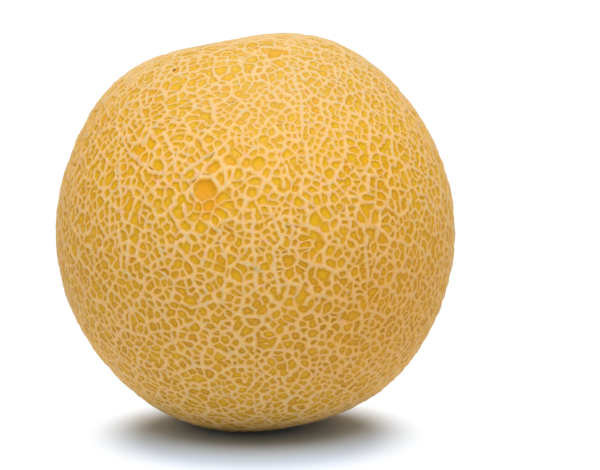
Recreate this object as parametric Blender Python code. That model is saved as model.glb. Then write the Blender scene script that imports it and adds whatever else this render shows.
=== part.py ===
"""Netted melon, whole, resting on a small flat spot.

Metres, +Z up. The origin is the middle of the flat spot that the melon rests on.
The front faces -Y. The stem end leans to the left and a little backwards.

The melon is one solid. Its skin is covered by a raised net: the surface is divided
into cells, each cell's border is a ridge, and each cell's floor lies lower.
"""

import math
import random

import bmesh
import bpy
from mathutils import Matrix, Vector

# Body
MEAN_RADIUS = 0.0750
CENTRE_HEIGHT = 0.0733
STEM_LEAN_LEFT = math.radians(10.5)
STEM_LEAN_BACK = math.radians(6.0)

# Rise and dip of each end, as fractions of the mean radius
END_SHOULDER_ANGLE = math.radians(33.0)
END_SHOULDER_SPREAD = math.radians(17.0)
END_DIP_SPREAD = math.radians(15.0)
STEM_SHOULDER_RISE = 0.030
STEM_DIP = 0.034
BLOSSOM_SHOULDER_RISE = 0.015
BLOSSOM_DIP = 0.012

# Gentle swells of the body: heading from the front towards the right, height angle,
# rise as a fraction of the mean radius, and spread
SWELLS = (
    (math.radians(90.0), math.radians(48.0), 0.012, math.radians(16.0)),
    (math.radians(205.0), math.radians(5.0), 0.008, math.radians(38.0)),
    (math.radians(-35.0), math.radians(-25.0), 0.006, math.radians(30.0)),
)

# Raised net
NET_CELLS = 700
CELL_JITTER = 0.24
RIDGE_HEIGHT = 0.0013
RIDGE_HALF_WIDTH = 0.0016
SHORTEST_RIDGE = 0.0020
SHORTEST_EDGE = 0.0004
NET_SEED = 11

# Scars at the two ends, and the share of a cell's pitch left free outside the cells round them
STEM_SCAR_RADIUS = 0.0080
STEM_SCAR_DEPTH = 0.0019
STEM_BOSS_INSET = 0.0022
STEM_BOSS_RISE = 0.0006
BLOSSOM_SCAR_RADIUS = 0.0042
BLOSSOM_PLUG_DEPTH = 0.0003
FREE_ROUND_SCAR = 0.55

# Flat spot: the net is worn smooth there, and grows to its full height away from it
WORN_ANGLE = math.radians(15.0)
FULL_NET_ANGLE = math.radians(27.0)
LEVEL_SLACK = 0.00025
CUT_TOLERANCE = 0.000025

SKIN_COLOUR = (0.78, 0.45, 0.10, 1.0)
SKIN_ROUGHNESS = 0.55
CRISP_EDGE = math.radians(20.0)

DOWN = Vector((0.0, 0.0, -1.0))
CENTRE = Vector((0.0, 0.0, CENTRE_HEIGHT))
STEM_WAY = Vector((-math.tan(STEM_LEAN_LEFT), math.tan(STEM_LEAN_BACK), 1.0)).normalized()
BLOSSOM_WAY = -STEM_WAY


def clear_objects():
    """Empty the scene."""
    for thing in list(bpy.data.objects):
        bpy.data.objects.remove(thing, do_unlink=True)


def bell(angle, spread):
    """Smooth rise from 0 to 1 and back, with its top at angle 0."""
    return math.exp(-((angle / spread) ** 2))


def heading(around, height):
    """Unit vector at an angle round from the front to the right, and up from the horizon."""
    return Vector((
        math.sin(around) * math.cos(height),
        -math.cos(around) * math.cos(height),
        math.sin(height),
    ))


def crest_radius(way):
    """Distance from the body's centre to the top of the net along the unit vector way."""
    from_stem = way.angle(STEM_WAY)
    from_blossom = math.pi - from_stem
    size = 1.0
    size += STEM_SHOULDER_RISE * bell(from_stem - END_SHOULDER_ANGLE, END_SHOULDER_SPREAD)
    size -= STEM_DIP * bell(from_stem, END_DIP_SPREAD)
    size += BLOSSOM_SHOULDER_RISE * bell(from_blossom - END_SHOULDER_ANGLE, END_SHOULDER_SPREAD)
    size -= BLOSSOM_DIP * bell(from_blossom, END_DIP_SPREAD)
    for around, height, rise, spread in SWELLS:
        size += rise * bell(way.angle(heading(around, height)), spread)
    return MEAN_RADIUS * size


def floor_depth(way):
    """Depth of a cell's floor below the ridges, which are worn low near the flat spot."""
    share = (way.angle(DOWN) - WORN_ANGLE) / (FULL_NET_ANGLE - WORN_ANGLE)
    share = min(max(share, 0.0), 1.0)
    return RIDGE_HEIGHT * share * share * (3.0 - 2.0 * share)


def ring_of_sites(pole, angle, count):
    """Unit vectors spaced evenly round a pole at one angle from it."""
    start = pole.orthogonal().normalized()
    first = Matrix.Rotation(angle, 3, start) @ pole
    return [Matrix.Rotation(math.tau * i / count, 3, pole) @ first for i in range(count)]


def cell_sites():
    """Unit vectors at the middles of the cells: scattered evenly, with a round cell at each end."""
    draw = random.Random(NET_SEED)
    pitch = math.sqrt(4.0 * math.pi / NET_CELLS)
    golden_turn = math.pi * (3.0 - math.sqrt(5.0))
    sites = []
    kept_clear = []
    for pole, scar_radius in ((STEM_WAY, STEM_SCAR_RADIUS), (BLOSSOM_WAY, BLOSSOM_SCAR_RADIUS)):
        ring_angle = 2.0 * scar_radius / MEAN_RADIUS
        count = math.ceil(math.tau * math.sin(ring_angle) / pitch)
        sites += [pole.copy()] + ring_of_sites(pole, ring_angle, count)
        kept_clear.append((pole, ring_angle + FREE_ROUND_SCAR * pitch))
    for i in range(NET_CELLS):
        height = 1.0 - (2.0 * i + 1.0) / NET_CELLS
        across = math.sqrt(1.0 - height * height)
        turn = golden_turn * i
        site = Vector((across * math.cos(turn), across * math.sin(turn), height))
        shift = Vector([draw.uniform(-1.0, 1.0) for _ in range(3)])
        site = (site + CELL_JITTER * pitch * shift).normalized()
        if all(site.angle(pole) > clear for pole, clear in kept_clear):
            sites.append(site)
    return sites


def cells_round_sites(sites):
    """Closed mesh with one face for each site, holding what lies nearest to that site."""
    net = bmesh.new()
    for site in sites:
        net.verts.new(site)
    bmesh.ops.convex_hull(net, input=net.verts)
    middles = list(net.verts)
    links = list(net.edges)
    net.normal_update()
    corner_ways = [face.normal.copy() for face in net.faces]
    corners = bmesh.ops.poke(net, faces=net.faces)["verts"]
    bmesh.ops.rotate_edges(net, edges=links)
    bmesh.ops.dissolve_verts(net, verts=middles)
    for corner, way in zip(corners, corner_ways):
        corner.co = way
    return net


def place(vert, depth):
    """Move a vertex along its own direction to the net's top, less a depth."""
    way = vert.co.normalized()
    vert.co = CENTRE + way * (crest_radius(way) - depth)


def cell_at(net, way):
    """The cell furthest along the unit vector way."""
    return max(net.faces, key=lambda cell: cell.calc_center_median().dot(way))


def raise_net(net):
    """Give each cell a sloping border down from its ridge, and a floor."""
    crests = list(net.verts)
    for vert in crests:
        vert.co = vert.co.normalized() * MEAN_RADIUS
    bmesh.ops.remove_doubles(net, verts=crests, dist=SHORTEST_RIDGE)
    net.normal_update()
    crests = set(net.verts)
    scar = cell_at(net, STEM_WAY)
    plug = cell_at(net, BLOSSOM_WAY)
    bmesh.ops.inset_individual(
        net, faces=net.faces, thickness=RIDGE_HALF_WIDTH, use_even_offset=True
    )
    plug_floor = set(plug.verts)
    scar_floor = set(scar.verts)
    bmesh.ops.inset_individual(net, faces=[scar], thickness=STEM_BOSS_INSET, use_even_offset=True)
    boss = set(scar.verts)
    feet = [vert for vert in net.verts if vert not in crests]
    bmesh.ops.remove_doubles(net, verts=feet, dist=SHORTEST_EDGE)
    for vert in net.verts:
        if vert in crests:
            place(vert, 0.0)
        elif vert in boss:
            place(vert, STEM_SCAR_DEPTH - STEM_BOSS_RISE)
        elif vert in scar_floor:
            place(vert, STEM_SCAR_DEPTH)
        elif vert in plug_floor:
            place(vert, BLOSSOM_PLUG_DEPTH)
        else:
            place(vert, floor_depth(vert.co.normalized()))


def flatten_rest(net):
    """Cut the underside level, so that the melon stands on a small flat spot."""
    for vert in net.verts:
        if abs(vert.co.z) < LEVEL_SLACK:
            vert.co.z = 0.0
    bmesh.ops.bisect_plane(
        net,
        geom=net.verts[:] + net.edges[:] + net.faces[:],
        dist=CUT_TOLERANCE,
        plane_co=(0.0, 0.0, 0.0),
        plane_no=DOWN,
        clear_outer=True,
    )
    stray = [edge for edge in net.edges if edge.is_wire]
    bmesh.ops.delete(net, geom=stray, context="EDGES")
    rim_verts = [vert for vert in net.verts if vert.is_boundary]
    for vert in rim_verts:
        vert.co.z = 0.0
    bmesh.ops.remove_doubles(net, verts=rim_verts, dist=SHORTEST_EDGE)
    bmesh.ops.holes_fill(net, edges=[edge for edge in net.edges if edge.is_boundary])
    bmesh.ops.recalc_face_normals(net, faces=net.faces)


def skin_material():
    """Golden yellow skin."""
    skin = bpy.data.materials.new("netted_skin")
    skin.use_nodes = True
    shader = skin.node_tree.nodes["Principled BSDF"]
    shader.inputs["Base Color"].default_value = SKIN_COLOUR
    shader.inputs["Roughness"].default_value = SKIN_ROUGHNESS
    shader.inputs["Metallic"].default_value = 0.0
    return skin


def build_melon():
    """The whole melon as one object."""
    net = cells_round_sites(cell_sites())
    raise_net(net)
    flatten_rest(net)
    mesh = bpy.data.meshes.new("melon")
    net.to_mesh(mesh)
    net.free()
    mesh.materials.append(skin_material())
    mesh.shade_smooth()
    mesh.set_sharp_from_angle(angle=CRISP_EDGE)
    melon = bpy.data.objects.new("melon", mesh)
    bpy.context.scene.collection.objects.link(melon)
    return melon


clear_objects()
build_melon()
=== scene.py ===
"""Netted melon: golden skin under a pale corky net, on a plain pale studio floor.

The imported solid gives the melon's size, its broad net and its place. This script lays the
fine net over the same form: thousands of small cells, each with a sloping corky border and
a slightly domed floor of bare skin, with the broad net's ridges kept as the stronger ones.
"""

import logging
import math
import random
from dataclasses import dataclass, field
from enum import Enum
from typing import Callable, Iterable, Sequence, Union

import bmesh
import bpy
import numpy as np
from mathutils import Matrix, Vector, noise
from mathutils.kdtree import KDTree


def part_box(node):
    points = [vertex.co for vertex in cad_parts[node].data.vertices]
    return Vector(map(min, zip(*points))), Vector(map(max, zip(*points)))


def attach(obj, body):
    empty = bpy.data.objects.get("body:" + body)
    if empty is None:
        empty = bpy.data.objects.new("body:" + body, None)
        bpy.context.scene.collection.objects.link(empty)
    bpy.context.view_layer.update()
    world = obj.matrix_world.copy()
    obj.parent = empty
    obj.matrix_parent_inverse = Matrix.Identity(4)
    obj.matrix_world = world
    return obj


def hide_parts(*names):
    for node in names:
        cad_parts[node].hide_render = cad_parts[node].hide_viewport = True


LOG = logging.getLogger("melon")
MILLIMETRE = 0.001
FIRST_INSET = 0.1 * MILLIMETRE
DRIFT_APART = Vector((7.3, 1.9, 4.1))
SWAY_APART = Vector((3.7, 8.9, 5.1))

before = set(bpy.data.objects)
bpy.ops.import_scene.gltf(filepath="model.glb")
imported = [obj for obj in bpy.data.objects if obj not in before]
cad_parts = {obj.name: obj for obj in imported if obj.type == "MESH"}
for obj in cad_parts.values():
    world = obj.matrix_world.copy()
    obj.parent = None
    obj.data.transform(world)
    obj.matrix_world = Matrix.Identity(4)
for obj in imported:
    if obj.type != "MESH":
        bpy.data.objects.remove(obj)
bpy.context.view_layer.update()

Colour = tuple[float, float, float, float]
Input = Union["Wire", float, int, Sequence[float]]
Net = bmesh.types.BMesh
Cell = bmesh.types.BMFace
Corner = bmesh.types.BMVert


def screen_colour(red: int, green: int, blue: int) -> Colour:
    """Turn a colour as a screen shows it into the linear values of shaders.

    Args:
        red: Its red from 0 to 255.
        green: Its green, likewise.
        blue: Its blue, likewise.

    Returns:
        The colour, opaque.
    """
    def linear(step: int) -> float:
        """Return one channel's linear value by the sRGB curve."""
        share = step / 255.0
        return share / 12.92 if share <= 0.04045 else ((share + 0.055) / 1.055) ** 2.4

    return (linear(red), linear(green), linear(blue), 1.0)


def bell(angle: float, spread: float) -> float:
    """Return a smooth hump that is 1 at angle 0 and fades over the spread."""
    return math.exp(-((angle / spread) ** 2))


def smooth_share(value: float, low: float, high: float) -> float:
    """Return how far value is from low to high, from 0 to 1, eased at both ends."""
    share = min(max((value - low) / (high - low), 0.0), 1.0)
    return share * share * (3.0 - 2.0 * share)


def mean_point(points: Sequence[Vector]) -> Vector:
    """Return the mean of some points."""
    return sum(points, Vector()) / len(points)


def noise_vector(spot: Vector, apart: Vector) -> Vector:
    """Return three numbers of noise, each read one step further from the spot."""
    return Vector([noise.noise(spot + apart * (i + 1)) for i in range(3)])


def search_tree(points: Sequence[Vector]) -> KDTree:
    """Build a search tree that holds each point under its number.

    Args:
        points: The points.

    Returns:
        The tree, ready to search.
    """
    tree = KDTree(len(points))
    for number, point in enumerate(points):
        tree.insert(point, number)
    tree.balance()
    return tree


def add_object(name: str, data: bpy.types.ID) -> bpy.types.Object:
    """Add an object to the scene.

    Args:
        name: Its name.
        data: Its mesh, light or camera.

    Returns:
        The object.
    """
    added = bpy.data.objects.new(name, data)
    bpy.context.scene.collection.objects.link(added)
    return added


def add_shape(name: str, shape: Net, material: bpy.types.Material) -> bpy.types.Object:
    """Add a finished shape to the scene.

    Args:
        name: Name of its object and its mesh.
        shape: The shape, which is freed.
        material: Its material.

    Returns:
        The object.
    """
    mesh = bpy.data.meshes.new(name)
    shape.to_mesh(mesh)
    shape.free()
    mesh.materials.append(material)
    return add_object(name, mesh)


@dataclass(frozen=True)
class Place:
    """A place on the melon, as angles seen from the middle of its body.

    Attributes:
        around: Degrees round from the front towards the right.
        height: Degrees up from level.
    """

    around: float
    height: float

    def way(self) -> Vector:
        """Turn the angles into a direction.

        Returns:
            Unit vector from the body's middle to the place.
        """
        around = math.radians(self.around)
        height = math.radians(self.height)
        return Vector((
            math.sin(around) * math.cos(height),
            -math.cos(around) * math.cos(height),
            math.sin(height),
        ))


def tangents(way: Vector, turn: float = 0.0) -> tuple[Vector, Vector]:
    """Return two unit vectors along the surface at a place, square to each other.

    Args:
        way: Unit vector to the place.
        turn: Degrees that the first is turned up from level.

    Returns:
        The way to the right and the way up, both turned.
    """
    level = Vector((0.0, 0.0, 1.0)).cross(way).normalized()
    upright = way.cross(level)
    turned = Matrix.Rotation(math.radians(turn), 3, way)
    return turned @ level, turned @ upright


@dataclass(frozen=True)
class Hump:
    """A round part of the melon where something rises, such as its form.

    Attributes:
        place: Its middle.
        spread: Its spread in degrees.
        rise: How much it rises at its middle.
    """

    place: Place
    spread: float
    rise: float

    def at(self, way: Vector) -> float:
        """Return how much it rises at a unit vector."""
        return self.rise * bell(math.degrees(way.angle(self.place.way())), self.spread)


@dataclass(frozen=True)
class Stretch:
    """A round part of the melon where the cells are drawn out one way.

    Attributes:
        place: Its middle.
        spread: Its spread in degrees.
        turn: Degrees up from level of the way that they are drawn out.
        along: Added length that way, as a share.
        across: Added width across it, as a share.
    """

    place: Place
    spread: float
    turn: float
    along: float
    across: float

    def shift(self, way: Vector) -> Vector:
        """Find how far the stretch moves a place.

        Args:
            way: Unit vector to the place.

        Returns:
            The move on a sphere of radius 1.
        """
        middle = self.place.way()
        long, short = tangents(middle, self.turn)
        strength = bell(math.degrees(way.angle(middle)), self.spread)
        return strength * (self.along * way.dot(long) * long + self.across * way.dot(short) * short)


@dataclass(frozen=True)
class Spot:
    """A round spot of another colour, such as a dark fleck or an orange blush.

    Attributes:
        place: Where it lies.
        radius: Radius in metres.
        core: Share of the radius that has its full colour.
    """

    place: Place
    radius: float
    core: float = 0.45


@dataclass(frozen=True)
class FruitForm:
    """The smooth form that the tops of the net lie on.

    Attributes:
        mean_radius: Mean radius of the body in metres.
        centre_share: Height of the body's middle above the flat spot, as a share of that.
        stem_lean_left: Degrees that the stem end leans to the left.
        stem_lean_back: Degrees that it leans backwards.
        shoulder_angle: Degrees from each end to the shoulder round it.
        shoulder_spread: Spread of the shoulders in degrees.
        dip_spread: Spread of the dip at each end in degrees.
        stem_shoulder: Rise of the stem end's shoulder as a share of the mean radius.
        stem_dip: Depth of its dip, likewise.
        blossom_shoulder: Rise of the blossom end's shoulder, likewise.
        blossom_dip: Depth of its dip, likewise.
        swells: Gentle swellings of the body, rising by a share of the mean radius.
    """

    mean_radius: float
    centre_share: float = 0.0733 / 0.0750
    stem_lean_left: float = 10.5
    stem_lean_back: float = 6.0
    shoulder_angle: float = 33.0
    shoulder_spread: float = 17.0
    dip_spread: float = 15.0
    stem_shoulder: float = 0.030
    stem_dip: float = 0.034
    blossom_shoulder: float = 0.015
    blossom_dip: float = 0.012
    swells: tuple[Hump, ...] = (
        Hump(Place(90.0, 48.0), 16.0, 0.012),
        Hump(Place(205.0, 5.0), 38.0, 0.008),
        Hump(Place(-35.0, -25.0), 30.0, 0.006),
    )

    @property
    def centre(self) -> Vector:
        """Middle of the body."""
        return Vector((0.0, 0.0, self.centre_share * self.mean_radius))

    @property
    def stem_way(self) -> Vector:
        """Unit vector from the middle to the stem end."""
        left = math.tan(math.radians(self.stem_lean_left))
        back = math.tan(math.radians(self.stem_lean_back))
        return Vector((-left, back, 1.0)).normalized()

    def crest_radius(self, way: Vector) -> float:
        """Find how far the net's top is from the body's middle.

        Args:
            way: Unit vector from the middle.

        Returns:
            The distance in metres.
        """
        from_stem = math.degrees(way.angle(self.stem_way))
        from_blossom = 180.0 - from_stem
        size = 1.0
        size += self.stem_shoulder * bell(from_stem - self.shoulder_angle, self.shoulder_spread)
        size -= self.stem_dip * bell(from_stem, self.dip_spread)
        size += self.blossom_shoulder * bell(from_blossom - self.shoulder_angle, self.shoulder_spread)
        size -= self.blossom_dip * bell(from_blossom, self.dip_spread)
        for swell in self.swells:
            size += swell.at(way)
        return self.mean_radius * size

    def point(self, way: Vector, depth: float, lift: float) -> Vector:
        """Return a point under the net's top, kept off the surface that the melon rests on.

        Args:
            way: Unit vector from the middle.
            depth: Depth below the net's top in metres.
            lift: Least height above the flat spot in metres.

        Returns:
            The point, no lower than lift.
        """
        spot = self.centre + way * (self.crest_radius(way) - depth)
        spot.z = max(spot.z, lift)
        return spot


@dataclass(frozen=True)
class CellPlan:
    """Where the middles of a net's cells lie.

    Attributes:
        count: How many cells an even net would have.
        jitter: Scatter of the middles as a share of the even spacing.
        seed: Seed of the scatter.
        free_round_scar: Share of the spacing left free outside the cells round a scar.
        thinning: Largest share of cells left out where the net is coarse.
        thinning_grain: Patches of coarse and fine net across the body's radius.
        thinning_range: Noise at which the net starts to be coarse, and is coarsest.
        patches: Parts where the net is coarser still, by a share of the cells.
    """

    count: int
    jitter: float
    seed: int
    free_round_scar: float = 0.55
    thinning: float = 0.0
    thinning_grain: float = 2.6
    thinning_range: tuple[float, float] = (-0.25, 0.45)
    patches: tuple[Hump, ...] = ()

    @property
    def spacing(self) -> float:
        """Even spacing of the cells on a sphere of radius 1."""
        return math.sqrt(4.0 * math.pi / self.count)

    def round_scar(self, pole: Vector, angle: float) -> list[Vector]:
        """Return the middles that leave one round cell at a pole.

        Args:
            pole: Unit vector at the round cell's middle.
            angle: Angle of the ring of neighbours round it, twice the cell's own.

        Returns:
            The pole and the ring of neighbours.
        """
        first = Matrix.Rotation(angle, 3, pole.orthogonal().normalized()) @ pole
        count = math.ceil(math.tau * math.sin(angle) / self.spacing)
        turns = (Matrix.Rotation(math.tau * i / count, 3, pole) for i in range(count))
        return [pole.copy()] + [turn @ first for turn in turns]

    def middles(
        self,
        scars: Iterable[tuple[Vector, float]],
        bend: Callable[[Vector], Vector] = Vector.normalized,
    ) -> list[Vector]:
        """Scatter the cells' middles.

        Args:
            scars: Unit vector and ring angle of each scar's round cell.
            bend: What moves each scattered middle once more.

        Returns:
            Unit vectors.
        """
        draw = random.Random(self.seed)
        golden_turn = math.pi * (3.0 - math.sqrt(5.0))
        middles: list[Vector] = []
        kept_clear: list[tuple[Vector, float]] = []
        for pole, ring_angle in scars:
            middles += self.round_scar(pole, ring_angle)
            kept_clear.append((pole, ring_angle + self.free_round_scar * self.spacing))
        for i in range(self.count):
            height = 1.0 - (2.0 * i + 1.0) / self.count
            across = math.sqrt(1.0 - height * height)
            turn = golden_turn * i
            middle = Vector((across * math.cos(turn), across * math.sin(turn), height))
            shift = Vector([draw.uniform(-1.0, 1.0) for _ in range(3)])
            middle = bend(middle + self.jitter * self.spacing * shift).normalized()
            coarse = smooth_share(noise.noise(middle * self.thinning_grain), *self.thinning_range)
            left_out = self.thinning * coarse + sum(patch.at(middle) for patch in self.patches)
            if draw.random() < left_out:
                continue
            if all(middle.angle(pole) > clear for pole, clear in kept_clear):
                middles.append(middle)
        return middles


@dataclass(frozen=True)
class Stroke:
    """A long bold ridge that runs across several cells.

    Attributes:
        start: Where it starts.
        end: Where it ends.
        bow: How far its middle stands aside, as a share of its length.
    """

    start: Place
    end: Place
    bow: float = 0.0

    def line(self, step: float) -> list[tuple[Vector, Vector]]:
        """Walk along the ridge.

        Args:
            step: Distance between points on a sphere of radius 1.

        Returns:
            At each point, its unit vector and the unit vector sideways.
        """
        start, end = self.start.way(), self.end.way()
        length = start.angle(end)
        side = start.cross(end).normalized()
        count = max(round(length / step), 1)
        points = []
        for i in range(count + 1):
            share = i / count
            way = start.slerp(end, share) + side * (4.0 * self.bow * length * share * (1.0 - share))
            way.normalize()
            points.append((way, side))
        return points

    def plane(self) -> tuple[Vector, Vector]:
        """Find the plane that the ridge lies in.

        Returns:
            A point on it halfway along the ridge, and its normal.
        """
        start, end = self.start.way(), self.end.way()
        aside = start.cross(end).normalized() * (self.bow * start.angle(end))
        crown = (start.slerp(end, 0.5) + aside).normalized()
        return crown, (end - start).cross(crown - start).normalized()


@dataclass(frozen=True)
class StrokeRule:
    """How the long ridges are laid into the net, with lengths in spacings of its cells.

    Attributes:
        step: Distance between the pairs of cells along a ridge.
        aside: Distance of each such cell's middle from the ridge.
        clear: Distance kept free of other cells' middles.
        reach: Distance from a ridge within which corners belong to it.
        least_cell: Least area of a cell beside it, in squares of the spacing.
        sway: How far a ridge sways from its line.
        sway_waves: Waves of that sway across the body's radius.
    """

    step: float = 0.86
    aside: float = 0.46
    clear: float = 0.80
    reach: float = 0.28
    least_cell: float = 0.30
    sway: float = 0.55
    sway_waves: float = 21.0


@dataclass(frozen=True)
class Window:
    """A cell that is much larger than the ones round it.

    Attributes:
        place: Its middle.
        wide: Its width between the middles of its ridges, in mm.
        tall: Its height, likewise.
        clear: Share of that kept free of other cells' middles on each side of its own.
    """

    place: Place
    wide: float
    tall: float
    clear: float = 0.64

    def claims(self, way: Vector, heart: Vector, mean_radius: float) -> bool:
        """Tell whether another cell's middle would lie too near the window's.

        Args:
            way: Unit vector to the other cell's middle.
            heart: Unit vector to the window's middle.
            mean_radius: Mean radius of the body in metres.

        Returns:
            True where it would.
        """
        if way.dot(heart) < 0.0:
            return False
        right, up = tangents(heart)
        reach = mean_radius / MILLIMETRE
        aside = way.dot(right) * reach / self.wide
        above = way.dot(up) * reach / self.tall
        return aside * aside + above * above < self.clear * self.clear


class RidgeKind(Enum):
    """How strong a ridge is: half its width and its height in mm, and how corky it is."""

    BOLD = (1.46, 0.96, 1.40)
    MAIN = (1.22, 0.86, 1.16)
    MINOR = (0.76, 0.56, 0.84)
    FAINT = (0.54, 0.36, 0.66)
    BROKEN = (0.40, 0.03, -0.4)

    @property
    def half_width(self) -> float:
        """Half the ridge's width in metres."""
        return self.value[0] * MILLIMETRE

    @property
    def height(self) -> float:
        """The ridge's height above the cells' floors in metres."""
        return self.value[1] * MILLIMETRE

    @property
    def cork(self) -> float:
        """How corky the ridge's top is: 1 for cork, less than 0 for bare skin."""
        return self.value[2]


@dataclass(frozen=True)
class Chances:
    """Bounds of the draw from 0 to 1 that chooses how strong a ridge is.

    Attributes:
        broken: Below it, a ridge is broken.
        faint: Below it, a ridge is faint.
        main: Above it, a ridge is a main one.
        broad: Above it, a ridge on the broad net's lines is a main one.
        soft: Below it, a ridge on an orange patch is faint.
        stem_bias: How much stronger ridges that run to the stem are than those across them.
        collar: Reach of the main ridges round a scar, as a share of its radius.
    """

    broken: float = 0.12
    faint: float = 0.34
    main: float = 0.92
    broad: float = 0.18
    soft: float = 0.75
    stem_bias: float = 0.20
    collar: float = 1.25


@dataclass(frozen=True)
class Relief:
    """How ridges slope down to the cells' floors, and how uneven they are.

    Attributes:
        shortest: Shortest ridge in metres.
        bend: Sideways bend of a ridge as a share of its length.
        least_bent: Least length of a ridge that is bent, in spacings.
        waves: Waves of the ridges' unevenness across the body's radius.
        uneven_width: Strength of those waves in a ridge's width, as a share.
        loose_width: Drawn change of its width, as a share.
        uneven_height: Strength of the waves in its height, as a share.
        joint: Widening where ridges meet.
        joint_rise: Raising where ridges meet.
        joint_cork: Least corkiness where ridges meet.
        least_pull: Least corkiness that a ridge counts with where ridges meet.
        widest_slope: Most of a cell's half width that a ridge takes.
        outermost_foot: Furthest that a slope's foot lies from a cell's middle, as a share.
        roundness: How far a cell's floor is rounded, from 0 to 1.
        floor_crown: How far a cell's floor is domed, in metres.
        bare: Corkiness at the middle of a cell's floor, where its foot has 0 and its ridge 1.
        rest_lift: Height of the floors above the flat spot in metres.
        corner_shade: Painted shade on a cell's floor at its corners, from 0 to 1.
        side_shade: Painted shade on it at its sides.
        small_shade: Painted shade at the middle of the smallest floors.
        small_to_large: Radius of the smallest floors and of the large ones, in metres.
    """

    shortest: float = 0.55 * MILLIMETRE
    bend: float = 0.16
    least_bent: float = 0.52
    waves: float = 48.0
    uneven_width: float = 0.45
    loose_width: float = 0.14
    uneven_height: float = 0.22
    joint: float = 1.15
    joint_rise: float = 1.05
    joint_cork: float = 0.8
    least_pull: float = 0.1
    widest_slope: float = 0.74
    outermost_foot: float = 0.80
    roundness: float = 0.30
    floor_crown: float = 0.14 * MILLIMETRE
    bare: float = -0.6
    rest_lift: float = 0.35 * MILLIMETRE
    corner_shade: float = 0.74
    side_shade: float = 0.46
    small_shade: float = 0.5
    small_to_large: tuple[float, float] = (0.5 * MILLIMETRE, 1.5 * MILLIMETRE)


@dataclass(frozen=True)
class ScarRing:
    """One ring of a scar's turned profile.

    Attributes:
        radius: Radius in mm.
        depth: Depth below the net's top in mm.
        cork: How corky it is, from 0 to 1.
        scar: How much it is scar tissue, from 0 to 1.
    """

    radius: float
    depth: float
    cork: float
    scar: float


@dataclass
class Scar:
    """A round scar at one end of the fruit.

    Attributes:
        way: Unit vector to its middle.
        radius: Radius of the collar round it in metres.
        rings: Its turned profile, from the outside inwards, with its middle as the last.
        waver: How uneven the rings' radius is as a share, and its waves round the scar.
        hollow: How uneven their depth is, likewise.
    """

    way: Vector
    radius: float
    rings: tuple[ScarRing, ...]
    waver: tuple[float, float] = (0.05, 3.0)
    hollow: tuple[float, float] = (0.25, 9.0)

    def ring_angle(self, mean_radius: float) -> float:
        """Return the angle of the ring of cells round the scar."""
        return 2.0 * self.radius / mean_radius


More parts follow.
